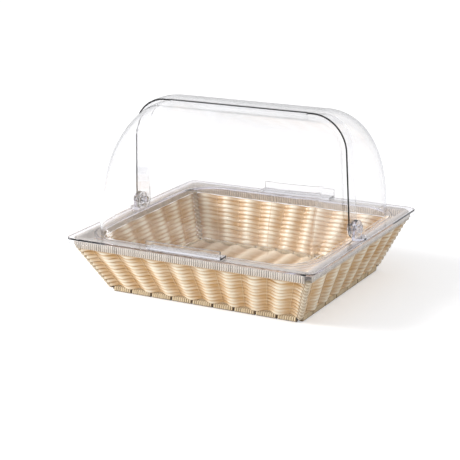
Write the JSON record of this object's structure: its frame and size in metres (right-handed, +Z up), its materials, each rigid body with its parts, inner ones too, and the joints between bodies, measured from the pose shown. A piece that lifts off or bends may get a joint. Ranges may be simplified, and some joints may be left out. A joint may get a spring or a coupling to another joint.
{
  "type": "countertop bread display bin",
  "caption": "Woven bread display basket on a wire frame, under a clear roll-top cover whose front and rear halves roll about one axis and which lifts off.",
  "frame": {"origin": "middle of the basket's footprint, on the surface it stands on", "axes": "+Z up, +X to the right seen from the front, -Y to the front, where the inner shell and its handle are"},
  "size_m": [0.4, 0.36, 0.2715],
  "materials": {
    "strand": "satin extruded strand with grain",
    "floor_strand": "satin extruded strand",
    "binding": "satin wrapped strip",
    "post": "satin wrapped strip",
    "wire": "dark coated wire",
    "clear": "clear moulded plastic",
    "clear_frame": "clear moulded plastic",
    "clear_small": "clear moulded plastic"
  },
  "bodies": {
    "basket": {"rim_hoop": "wire", "foot_hoop": "wire", "corner_posts": "post", "outer_stakes": "strand", "inner_stakes": "strand", "floor_stakes": "wire", "front_weave": "strand", "rear_weave": "strand", "left_weave": "strand", "right_weave": "strand", "floor_weave": "floor_strand", "front_rim_binding": "binding", "rear_rim_binding": "binding", "left_rim_binding": "binding", "right_rim_binding": "binding", "front_foot_binding": "strand", "rear_foot_binding": "strand", "left_foot_binding": "strand", "right_foot_binding": "strand"},
    "cover": {"cover_frame": "clear_frame", "left_pivot_bracket": "clear_small", "right_pivot_bracket": "clear_small", "left_pivot_pin": "clear_small", "right_pivot_pin": "clear_small", "left_pin_cap": "clear_small", "right_pin_cap": "clear_small", "left_ear_washer": "clear_small", "right_ear_washer": "clear_small"},
    "front_roller": {"front_shell": "clear", "front_handle": "clear_small"},
    "rear_roller": {"rear_shell": "clear", "rear_handle": "clear_small"}
  },
  "joints": [
    {"name": "cover_lift", "type": "slide", "parent": "basket", "child": "cover", "axis": [0, 0, 1], "range_m": [0, 0.15]},
    {"name": "front_roll", "type": "hinge", "parent": "cover", "child": "front_roller", "pos_m": [0, -0.004, 0.106], "axis": [-1, 0, 0], "range_deg": [0, 43]},
    {"name": "rear_roll", "type": "hinge", "parent": "cover", "child": "rear_roller", "pos_m": [0, -0.004, 0.106], "axis": [1, 0, 0], "range_deg": [0, 43]}
  ]
}
